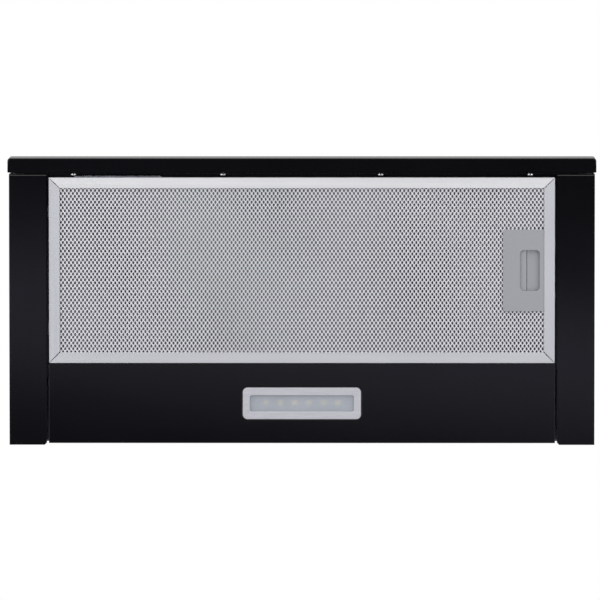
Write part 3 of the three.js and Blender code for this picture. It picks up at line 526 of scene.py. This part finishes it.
def expanded_sheet(name, low, high, pitch, row, strand, bond, dip, room=None, turn=0.0):
    """Expanded foil: strands that zigzag from front to back, side by side, and touch along their bonds.

    strand is a strand's width, bond the length of a bond and dip how far every other bond lies deeper.
    room is cleared of strands, and turn is the sheet's turn in its plane, in radians.
    """
    size = Vector(high) - Vector(low)
    thick = size.z - dip
    reach = pitch / 4 - strand / 4
    bpy.ops.object.select_all(action="DESELECT")
    bpy.ops.mesh.primitive_circle_add(vertices=3, radius=1, fill_type="NOTHING", rotation=(math.pi / 2, 0, 0))
    piece = settle(bpy.context.object)
    corners = [(-strand / 2, 0.35 * thick), (strand / 2, 0), (0, thick)]
    for vertex, (x, z) in zip(piece.data.vertices, corners):
        vertex.co = (reach + x, 0, z)
    steps = [(0, bond, 0), (-2 * reach, row - bond, dip), (0, bond, 0), (2 * reach, row - bond, -dip)]
    edit(piece, "VERT")
    bpy.ops.mesh.select_all(action="SELECT")
    for step in steps:
        if max(map(abs, step)) > 0:
            bpy.ops.mesh.extrude_region_move(TRANSFORM_OT_translate={"value": step})
    bpy.ops.mesh.select_all(action="SELECT")
    bpy.ops.mesh.duplicate()
    bpy.ops.transform.resize(value=(-1, 1, 1), center_override=(0, 0, 0))
    bpy.ops.transform.translate(value=(pitch / 2, 0, 0))
    close()
    columns = int(size.x / pitch)
    rows = int(size.y / (2 * row))
    modify(
        piece,
        "ARRAY",
        count=rows,
        use_relative_offset=False,
        use_constant_offset=True,
        constant_offset_displace=(0, 2 * row, 0),
        use_merge_vertices=True,
        merge_threshold=SAME_PLACE,
    )
    modify(
        piece,
        "ARRAY",
        count=columns,
        use_relative_offset=False,
        use_constant_offset=True,
        constant_offset_displace=(pitch, 0, 0),
    )
    middle = (Vector(low) + Vector(high)) / 2
    start = Vector((-(columns - 0.5) * pitch / 2, -rows * row, 0))
    place = Matrix.Translation((middle.x, middle.y, low[2])) @ Matrix.Rotation(turn, 4, "Z")
    piece.data.transform(place @ Matrix.Translation(start))
    edit(piece, "VERT")
    if room:
        (left, front, _), (right, back, _) = room
        pick(piece, lambda v: left < v.co.x < right and front < v.co.y < back, "vertices")
        bpy.ops.mesh.delete(type="VERT")
    bpy.ops.mesh.select_all(action="SELECT")
    bpy.ops.mesh.fill_holes(sides=3)
    bpy.ops.mesh.select_all(action="SELECT")
    bpy.ops.mesh.normals_make_consistent(inside=False)
    close()
    return named(piece, name)


def filter_meshes():
    """The face mesh that shows, and two coarser layers behind it, painted dark as painted shade."""
    low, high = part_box("filter_mesh")
    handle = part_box("filter_handle")
    reach = 1.2 * MM  # how far the cut strands run into the handle's edge
    past_frame = 20 * MM
    room = (handle[0] + Vector((reach, reach, 0)), handle[1] + Vector((past_frame, -reach, 0)))
    face = expanded_sheet(
        "filter_face_mesh", low, high, MESH_PITCH, MESH_ROW, 1.36 * MM, 1.9 * MM, 0.35 * MM, room
    )
    stands_for(face, FACE_MESH, "filter_mesh")
    low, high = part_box("filter_core")
    trim = Vector((2.2 * MM, 3.2 * MM, 0))
    layers = [(0.2 * MM, 1.02, 0.35), (2.4 * MM, 1.06, -0.5)]
    for number, (rise, coarser, degrees) in enumerate(layers, 1):
        base = low.z + rise
        piece = expanded_sheet(
            f"filter_inner_mesh_{number}",
            (low.x + trim.x, low.y + trim.y, base),
            (high.x - trim.x, high.y - trim.y, base + 1.3 * MM),
            MESH_PITCH * coarser,
            MESH_ROW * coarser,
            1.7 * MM,
            0,
            0.5 * MM,
            room,
            math.radians(degrees),
        )
        lay_mesh(number, piece, "filter_core")


def inner_filter_mesh():
    """Two layers of coarser expanded foil in the floor of the motor box, painted dark as painted shade."""
    low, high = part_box("inner_filter_mesh")
    trim = 1 * MM
    for number, (rise, coarser) in enumerate(((0.3 * MM, 1.0), (2.6 * MM, 1.08)), 1):
        base = low.z + rise
        piece = expanded_sheet(
            f"inner_filter_mesh_layer_{number}",
            (low.x + trim, low.y + trim, base),
            (high.x - trim, high.y - trim, base + 2.1 * MM),
            2 * MESH_PITCH * coarser,
            1.6 * MESH_ROW * coarser,
            2.6 * MM,
            1.8 * MM,
            0.6 * MM,
        )
        lay_mesh(number, piece, "inner_filter_mesh")


def filter_frame():
    """Four mitred profiles, each brushed along its own length; the front one is painted lighter, as painted
    light from the front.
    """
    for side, material in (
        ("front", FRONT_PROFILE_PAINTED_LIGHT),
        ("back", BACK_PROFILE),
        ("left", SIDE_PROFILE),
        ("right", SIDE_PROFILE),
    ):
        softened("filter_frame_" + side, material, 0.15 * MM, 3)


def finger_pocket():
    """The finger pocket's floor, dished beside the latch bar and flush with the inside of the handle."""
    low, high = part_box("filter_handle")
    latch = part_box("filter_latch")
    bar_width = 14.35 * MM
    pocket_depth = 2.6 * MM
    end_margin = 12 * MM
    piece = primitive_box(
        "filter_handle_pocket",
        (latch[0].x + bar_width, low.y + end_margin, low.z + pocket_depth),
        (high.x - 1 * MM, high.y - end_margin, high.z - 1.2 * MM),
    )
    edit(piece)
    pick(piece, lambda face: face.normal.z < -0.9)
    bpy.ops.mesh.inset(thickness=3 * MM)
    bpy.ops.transform.translate(value=(0, 0, 0.7 * MM))
    close()
    soften(piece, 0.8 * MM, 4, 10)
    rides_with(piece, GREY_PLASTIC, "filter_handle")


# ---- Lamp ----


def rounded_box(name, low, high, corner):
    """A box whose upright edges are rounded."""
    piece = primitive_box(name, low, high)

    def upright(edge):
        a, b = (piece.data.vertices[i].co for i in edge.vertices)
        return abs(a.x - b.x) < SAME_PLACE and abs(a.y - b.y) < SAME_PLACE

    edit(piece, "EDGE")
    pick(piece, upright, "edges")
    bpy.ops.mesh.bevel(offset=corner, segments=8, affect="EDGES")
    close()
    return piece


def cut_away(piece, *tools):
    """Takes the tools' shapes out of the piece."""
    for tool in tools:
        modify(piece, "BOOLEAN", object=tool, operation="DIFFERENCE", solver="EXACT")
        bpy.data.objects.remove(tool)


def lamp_bezel():
    """A flat silver frame with rounded corners; the lens reaches a little way behind it all round."""
    low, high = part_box("lamp_bezel")
    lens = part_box("lamp_lens")
    lens_rim = 1.8 * MM
    face = 1.7 * MM
    piece = rounded_box("lamp_bezel_shape", low, (high.x, high.y, low.z + face), 4.8 * MM)
    opening = rounded_box(
        "lamp_window",
        (lens[0].x + lens_rim, lens[0].y + lens_rim, low.z - 1 * MM),
        (lens[1].x - lens_rim, lens[1].y - lens_rim, high.z),
        2.2 * MM,
    )
    cut_away(piece, opening)
    soften(piece, 0.4 * MM, 3)
    stands_for(piece, SILVER, "lamp_bezel")


# ---- Round pieces ----


def spun(name, profile, middle, steps):
    """A closed profile of (radius, height) points, drawn point by point and spun about an upright axis."""
    bpy.ops.object.select_all(action="DESELECT")
    bpy.ops.mesh.primitive_plane_add(size=1 * MM, location=(0, 0, 0))
    piece = named(bpy.context.object, name)
    edit(piece, "VERT")
    pick(piece, lambda v: v.index > 0, "vertices")
    bpy.ops.mesh.delete(type="VERT")
    close()
    piece.data.vertices[0].co = (profile[0][0], 0, profile[0][1])
    bpy.ops.object.mode_set(mode="EDIT")
    bpy.ops.mesh.select_all(action="SELECT")
    for (r0, z0), (r1, z1) in zip(profile, profile[1:]):
        bpy.ops.mesh.extrude_region_move(TRANSFORM_OT_translate={"value": (r1 - r0, 0, z1 - z0)})
    last = len(profile) - 1
    pick(piece, lambda v: v.index in (0, last), "vertices")
    bpy.ops.mesh.edge_face_add()
    bpy.ops.mesh.select_all(action="SELECT")
    bpy.ops.mesh.spin(steps=steps, angle=2 * math.pi, center=(0, 0, 0), axis=(0, 0, 1))
    bpy.ops.mesh.select_all(action="SELECT")
    bpy.ops.mesh.remove_doubles(threshold=0.002 * MM)
    bpy.ops.mesh.normals_make_consistent(inside=False)
    close()
    piece.data.transform(Matrix.Translation(middle))
    return piece


def outlet_collar():
    """The duct spigot: a flange, a tapered lead-in, three grip rings and a seat for the flaps inside."""
    low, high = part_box("outlet_collar")
    middle = Vector(((low.x + high.x) / 2, (low.y + high.y) / 2, 0))
    base, top = low.z, high.z
    flange = (high.x - low.x) / 2
    outer = flange - 10 * MM
    bore = outer - 2 * MM
    flange_top = base + 2 * MM
    corner = 0.4 * MM
    fillet = 1.5 * MM
    grip = outer + 0.5 * MM
    seat_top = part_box("flap_front")[0].z - 0.3 * MM
    seat_foot = seat_top - 1.5 * MM
    seat = bore - 4 * MM
    rings = []
    for share in (0.42, 0.58, 0.74):
        z = base + share * (top - base)
        rings += [(outer, z - 1 * MM), (grip, z - 0.4 * MM), (grip, z + 0.4 * MM), (outer, z + 1 * MM)]
    profile = [
        (bore, base),
        (flange - corner, base),
        (flange, base + corner),
        (flange, flange_top - corner),
        (flange - corner, flange_top),
        (outer + fillet, flange_top),
        (outer, flange_top + fillet),
        *rings,
        (outer, top - 2 * MM),
        (outer - 0.9 * MM, top - 0.2 * MM),
        (outer - 1.2 * MM, top),
        (bore + 0.3 * MM, top),
        (bore, top - 0.3 * MM),
        (bore, seat_top),
        (seat, seat_top),
        (seat, seat_foot),
        (bore, seat_foot),
    ]
    piece = spun("outlet_collar_shape", profile, middle, 120)
    smooth(piece, 30)
    stands_for(piece, BLACK_PLASTIC, "outlet_collar")


def cable_gland():
    """A gland with a hexagonal nut under a rounded cap, open through its middle."""
    low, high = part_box("cable_gland")
    middle = Vector(((low.x + high.x) / 2, (low.y + high.y) / 2, 0))
    nut_reach = (high.x - low.x) / 2
    nut_foot = low.z + 9.3 * MM
    nut_height = 5 * MM
    nut_top = nut_foot + nut_height
    bore = 4 * MM
    shank = 8 * MM
    profile = [
        (bore, low.z),
        (shank, low.z),
        (shank, nut_top),
        (9 * MM, nut_top + 0.4 * MM),
        (8.6 * MM, high.z - 4 * MM),
        (6.6 * MM, high.z - 0.8 * MM),
        (6 * MM, high.z),
        (bore + 0.6 * MM, high.z),
        (bore, high.z - 0.8 * MM),
    ]
    cap = spun("cable_gland_cap", profile, middle, 64)
    smooth(cap, 30)
    nut_middle = (middle.x, middle.y, nut_foot + nut_height / 2)
    nut = primitive_rod("cable_gland_nut", "z", nut_reach, nut_height, nut_middle, 6)
    soften(nut, 0.7 * MM, 3)
    shape = joined("cable_gland_shape", [cap, nut])
    stands_for(shape, BLACK_PLASTIC, "cable_gland")


HEAD_HEIGHT = 1.5 * MM


def screw(node, axis, side, head_room):
    """A pan head with a rounded rim and a cross recess, on a plain shank.

    side is 1 or -1, the way the head shows, and head_room is the depth the CAD node gives its head.
    """
    low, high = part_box(node)
    index = "xyz".index(axis)
    across = (index + 2) % 3
    radius = (high[across] - low[across]) / 2
    middle = (low + high) / 2
    outer, inner = (high, low) if side > 0 else (low, high)
    face = outer[index] - side * head_room
    crown = face + side * HEAD_HEIGHT
    head_middle = slid(middle, index, (face + crown) / 2)
    head = primitive_rod(node + "_head", axis, radius, HEAD_HEIGHT, head_middle, 28)
    edit(head)
    pick(head, lambda f: f.normal[index] * side > 0.9)
    bpy.ops.mesh.inset(thickness=0.28 * radius)
    close()

    def at_crown_rim(vertex):
        offset = vertex.co - slid(middle, index, vertex.co[index])
        return abs(vertex.co[index] - crown) < SAME_PLACE and offset.length > 0.9 * radius

    edit(head, "VERT")
    pick(head, at_crown_rim, "vertices")
    bpy.ops.transform.translate(value=slid(ORIGIN, index, -side * 0.55 * HEAD_HEIGHT))
    close()
    tools = []
    for long_arm in range(3):
        if long_arm == index:
            continue
        reach = Vector([0.16 * radius] * 3)
        reach[long_arm] = 0.62 * radius
        reach[index] = HEAD_HEIGHT
        tip = slid(middle, index, face + side * HEAD_HEIGHT * 1.1)
        tools.append(primitive_box("drive", tip - reach, tip + reach))
    cut_away(head, *tools)
    smooth(head, 35)
    shank_middle = slid(middle, index, (face + inner[index]) / 2)
    shank = primitive_rod("shank", axis, 1.8 * MM, abs(face - inner[index]), shank_middle, 16)
    stands_for(joined(node + "_shape", [head, shank]), STEEL, node)


def screws():
    for number in range(1, 5):
        screw(f"front_panel_screw_{number}", "y", 1, 1.5 * MM)
    screw("bracket_screw_left", "x", -1, 2 * MM)
    screw("bracket_screw_right", "x", 1, 2 * MM)


def rivets(name, places, axis, outward):
    """Pop rivets in the motor box: one low dome with a dimple, copied to each place."""
    radius = 2.4 * MM
    rise = 0.8 * MM
    index = "xyz".index(axis)
    first = primitive_rod(name, axis, radius, rise, (0, 0, 0), 20)
    edit(first)
    pick(first, lambda f: f.normal[index] * outward > 0.9)
    bpy.ops.mesh.inset(thickness=0.35 * radius)
    bpy.ops.mesh.inset(thickness=0.3 * radius)
    bpy.ops.transform.translate(value=slid(ORIGIN, index, -outward * 0.35 * rise))
    close()
    soften(first, 0.25 * MM, 2, 50)
    shift = slid(ORIGIN, index, outward * rise / 2)
    copies = []
    for place in places:
        copy = first.copy()
        copy.data = first.data.copy()
        copy.data.transform(Matrix.Translation(Vector(place) + shift))
        bpy.context.scene.collection.objects.link(copy)
        copies.append(copy)
    bpy.data.objects.remove(first)
    rides_with(joined(name, copies), STEEL, "motor_box_walls")


# ---- Motor box ----

SHEET = 1 * MM


def press(piece, axis, side, low, high, slope, depth):
    """Presses a panel into one wall: the wall is bisected round the panel, inset and pushed in.

    low and high are the panel's corners, and a depth below zero raises the panel.
    """
    others = [i for i in range(3) if i != axis]
    edit(piece)
    for other in others:
        for end in (low, high):
            pick(piece, lambda f: f.normal[axis] * side > 0.9)
            bpy.ops.mesh.bisect(plane_co=end, plane_no=slid(ORIGIN, other, 1))

    def inside(face):
        if face.normal[axis] * side < 0.9:
            return False
        return all(low[o] < face.center[o] < high[o] for o in others)

    pick(piece, inside)
    bpy.ops.mesh.inset(thickness=slope)
    bpy.ops.transform.translate(value=slid(ORIGIN, axis, -side * depth))
    close()


def motor_box_walls():
    """Four walls folded from one sheet, with pressed panels and a foot along the front."""
    low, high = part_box("motor_box_top")
    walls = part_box("motor_box_walls")
    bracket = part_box("cabinet_bracket_right")
    piece = primitive_box("motor_box_walls_shape", (low.x, low.y, walls[0].z), (high.x, high.y, walls[1].z))
    edit(piece)
    pick(piece, lambda f: abs(f.normal.z) > 0.9)
    bpy.ops.mesh.delete(type="FACE")
    close()
    margin = 16 * MM
    rib = 11.2 * MM
    slope, depth = 2.4 * MM, 1.4 * MM
    bottom, top = walls[0].z + margin, walls[1].z - margin
    third = (high.x - low.x) / 3
    for start in (low.x, low.x + third, low.x + 2 * third):
        a = Vector((start + rib, 0, bottom))
        b = Vector((start + third - rib, 0, top))
        press(piece, 1, -1, a, b, slope, depth)
    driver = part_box("led_driver")
    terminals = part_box("terminal_box")
    a = Vector((driver[1].x + margin, 0, bottom))
    b = Vector((terminals[0].x - margin, 0, top))
    press(piece, 1, 1, a, b, slope, depth)
    for side in (-1, 1):
        for front, back in ((low.y, bracket[0].y), (bracket[1].y, high.y)):
            a = Vector((0, front + margin, bottom))
            b = Vector((0, back - margin, top))
            press(piece, 0, side, a, b, slope, depth)
    modify(piece, "SOLIDIFY", thickness=SHEET, offset=-1, use_even_offset=True)
    foot_top = walls[0].z + SHEET
    foot = primitive_box("foot", (low.x, walls[0].y, walls[0].z), (high.x, low.y + 0.5 * SHEET, foot_top))
    piece = joined("motor_box_walls_shape", [piece, foot])
    soften(piece, 0.5 * MM, 2, 20)
    stands_for(piece, ZINC, "motor_box_walls")


def motor_box_top():
    """A flat sheet with two raised panels and the holes for the outlet and the cable's gland."""
    low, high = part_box("motor_box_top")
    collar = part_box("outlet_collar")
    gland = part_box("cable_gland")
    piece = primitive_box("motor_box_top_shape", low, high)
    margin = 14 * MM
    slope, rise = 3.2 * MM, 2.4 * MM
    a = Vector((low.x + margin, low.y + margin, 0))
    b = Vector((collar[0].x - margin, high.y - margin, 0))
    press(piece, 2, 1, a, b, slope, -rise)
    a = Vector((collar[1].x + margin, low.y + margin, 0))
    b = Vector((high.x - margin, gland[0].y - margin, 0))
    press(piece, 2, 1, a, b, slope, -rise)
    through = 20 * MM
    outlet_place = slid((collar[0] + collar[1]) / 2, 2, high.z)
    outlet = primitive_rod("outlet_hole", "z", 58 * MM, through, outlet_place, 96)
    gland_place = slid((gland[0] + gland[1]) / 2, 2, high.z)
    cable = primitive_rod("cable_hole", "z", 8.3 * MM, through, gland_place, 48)
    cut_away(piece, outlet, cable)
    soften(piece, 0.3 * MM, 2, 20)
    stands_for(piece, ZINC, "motor_box_top")


def box_rivets():
    """A row of rivets round the motor box's rim, and a row along its foot."""
    low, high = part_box("motor_box_top")
    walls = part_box("motor_box_walls")
    rim = walls[1].z - 7 * MM
    inset = 12 * MM
    count = 7
    step = (high.x - low.x - 2 * inset) / (count - 1)
    xs = [low.x + inset + i * step for i in range(count)]
    ys = [low.y + inset, (low.y + high.y) / 2, high.y - inset]
    rivets("front_rivets", [(x, low.y, rim) for x in xs], "y", -1)
    rivets("back_rivets", [(x, high.y, rim) for x in xs], "y", 1)
    rivets("right_rivets", [(high.x, y, rim) for y in ys], "x", 1)
    rivets("left_rivets", [(low.x, y, rim) for y in ys], "x", -1)
    foot_middle = walls[0].y + 4.4 * MM
    foot_top = walls[0].z + SHEET
    rivets("foot_rivets", [(x, foot_middle, foot_top) for x in xs], "z", 1)


# ---- Stage, light and camera ----

FLOOR_DEPTH = 11.0
FLOOR_SIZE = 400
CAMERA_PLACE = (0.06, -0.56, -8.0)
CAMERA_TURN = (3.87, -0.59, -0.01)  # degrees about X, Y and the line of sight
CAMERA_SHIFT = (0.034, -0.028)
SENSOR = 36
LENS_LENGTH = 473.5


def stage():
    """A plain pale floor, far below."""
    bpy.ops.object.select_all(action="DESELECT")
    bpy.ops.mesh.primitive_plane_add(size=FLOOR_SIZE, location=(0, 0, -FLOOR_DEPTH))
    floor = named(bpy.context.object, "floor")
    paint = Paint("pale_floor")
    cloud = paint.noise(1.2, 2)
    floor.data.materials.append(
        paint.done(
            Base_Color=paint.mix(cloud, (0.80, 0.80, 0.80), (0.84, 0.84, 0.84)),
            Roughness=0.8,
            Emission_Color=(1, 1, 1),
            Emission_Strength=0.35,
        )
    )
    floor.visible_glossy = False


def softbox(name, place, target, size, power, color=(1, 1, 1), turn=0):
    """A rectangular light looking at its target, turned in degrees about its line of sight."""
    light = bpy.data.lights.new(name, "AREA")
    light.shape = "RECTANGLE"
    light.size, light.size_y = size
    light.energy = power
    light.color = color
    lamp = bpy.data.objects.new(name, light)
    lamp.location = place
    facing = (Vector(target) - Vector(place)).to_track_quat("-Z", "Y")
    lamp.rotation_euler = (facing @ Quaternion((0, 0, 1), math.radians(turn))).to_euler()
    lamp.visible_camera = False
    bpy.context.scene.collection.objects.link(lamp)


def dome(seen, above, below):
    """A world with one brightness behind the object, and two that light it from overhead and from below."""
    world = bpy.data.worlds.new("studio")
    bpy.context.scene.world = world
    world.use_nodes = True
    tree = world.node_tree
    background = tree.nodes["Background"]
    background.inputs["Color"].default_value = (1, 1, 1, 1)
    direction = tree.nodes.new("ShaderNodeTexCoord")
    parts = tree.nodes.new("ShaderNodeSeparateXYZ")
    height = tree.nodes.new("ShaderNodeMapRange")
    for socket, value in (("From Min", -0.15), ("From Max", 0.35), ("To Min", below), ("To Max", above)):
        height.inputs[socket].default_value = value
    ray = tree.nodes.new("ShaderNodeLightPath")
    choice = tree.nodes.new("ShaderNodeMix")
    choice.inputs["B"].default_value = seen
    for output, socket in (
        (direction.outputs["Generated"], parts.inputs["Vector"]),
        (parts.outputs["Z"], height.inputs["Value"]),
        (ray.outputs["Is Camera Ray"], choice.inputs["Factor"]),
        (height.outputs["Result"], choice.inputs["A"]),
        (choice.outputs["Result"], background.inputs["Strength"]),
    ):
        tree.links.new(output, socket)


def lights():
    """Softboxes all round, and a weak bluish strip that the black paint mirrors as a gradient."""
    bluish = (0.78, 0.78, 1.0)
    dome(1.0, 0.5, 0.012)
    softbox("front_softbox", (0, -1.5, -0.8), ORIGIN, (3.0, 1.6), 24)
    softbox("left_softbox", (-1.9, -0.1, -1.3), ORIGIN, (1.2, 1.6), 18)
    softbox("right_softbox", (1.9, -0.1, -1.3), ORIGIN, (1.2, 1.6), 15)
    softbox("low_glow", (-0.012, 0.155, -1.6), (-0.012, 0.155, 0), (1.6, 0.13), 0.5, bluish, -5.6)
    softbox("top_softbox", (1.5, -1.0, 2.1), ORIGIN, (1.4, 1.4), 34)


def camera():
    """Looks up at the underside, with the front panel at the top of the view."""
    turns = [math.radians(angle) for angle in CAMERA_TURN]
    to_camera = (
        Matrix.Rotation(turns[2], 3, "Z")
        @ Matrix.Rotation(turns[1], 3, "Y")
        @ Matrix.Rotation(turns[0], 3, "X")
        @ Matrix((RIGHT, -BACK, -UP))
    )
    data = bpy.data.cameras.new("camera")
    data.sensor_width = SENSOR
    data.lens = LENS_LENGTH
    data.shift_x, data.shift_y = CAMERA_SHIFT
    data.clip_start = 0.05
    data.clip_end = 100
    eye = bpy.data.objects.new("camera", data)
    eye.matrix_world = Matrix.Translation(CAMERA_PLACE) @ to_camera.transposed().to_4x4()
    bpy.context.scene.collection.objects.link(eye)
    bpy.context.scene.camera = eye
    bpy.context.scene.view_settings.view_transform = "Standard"


# ---- The hood ----

camera()
stage()
lights()
front_panel()
side_channels()
filter_frame()
filter_meshes()
finger_pocket()
inner_filter_mesh()
lamp_bezel()
outlet_collar()
cable_gland()
screws()
motor_box_walls()
motor_box_top()
box_rivets()

# Pieces whose solids already have the right shape: their finish, the width of their rounded edges, its steps.
SOFTENED = [
    (("back_plate",), BLACK_PAINT, 0.35 * MM, 3),
    (("drawer_front_rail",), BLACK_PAINT, 0.3 * MM, 2),
    (("deck_plate", "cabinet_bracket_left", "cabinet_bracket_right"), ZINC, 0.35 * MM, 2),
    (("drawer_back_rail",), ZINC, 0.25 * MM, 2),
    # The black paint on the drawer sides also keeps the gaps beside the drawer dark, as painted shade.
    (("drawer_side_left", "drawer_side_right"), BLACK_PAINT, 0.25 * MM, 2),
    (("slide_outer_rail_left", "slide_outer_rail_right"), ZINC, 0.2 * MM, 2),
    (("slide_middle_rail_left", "slide_middle_rail_right"), ZINC, 0.2 * MM, 2),
    (("slide_inner_rail_left", "slide_inner_rail_right"), ZINC, 0.2 * MM, 2),
    (("motor", "motor_bracket"), ZINC, 0.3 * MM, 2),
    (("inner_filter_frame",), BACK_PROFILE, 0.3 * MM, 2),
    (("filter_handle", "filter_latch"), GREY_PLASTIC, 0.15 * MM, 2),
    (("filter_clip",), STEEL, 0.15 * MM, 2),
    (("fan_scroll_left", "fan_scroll_right", "impeller"), BLACK_PLASTIC, 0.2 * MM, 2),
    # lamp_tray takes black plastic as painted shade: it keeps the gap round the lamp bezel dark.
    (("flap_front", "flap_back", "control_box", "drawer_switch", "lamp_tray"), BLACK_PLASTIC, 0.25 * MM, 2),
    (("terminal_box", "led_driver"), WHITE_PLASTIC, 0.3 * MM, 2),
    (("speed_slider", "light_slider"), SILVER, 0.3 * MM, 2),
    (("drawer_switch_plunger",), WHITE_PLASTIC, 0.2 * MM, 2),
    (("motor_shaft", "flap_pin"), STEEL, 0.2 * MM, 2),
    (("lamp_lens",), LENS, 0.15 * MM, 2),
    (("led_board",), LED_BOARD_PAINTED_GLOW, 0.1 * MM, 2),
]
for nodes, material, width, segments in SOFTENED:
    for node in nodes:
        softened(node, material, width, segments)

spring = frame["nodes"]["latch_spring"]
spring.data.materials.clear()
spring.data.materials.append(STEEL)
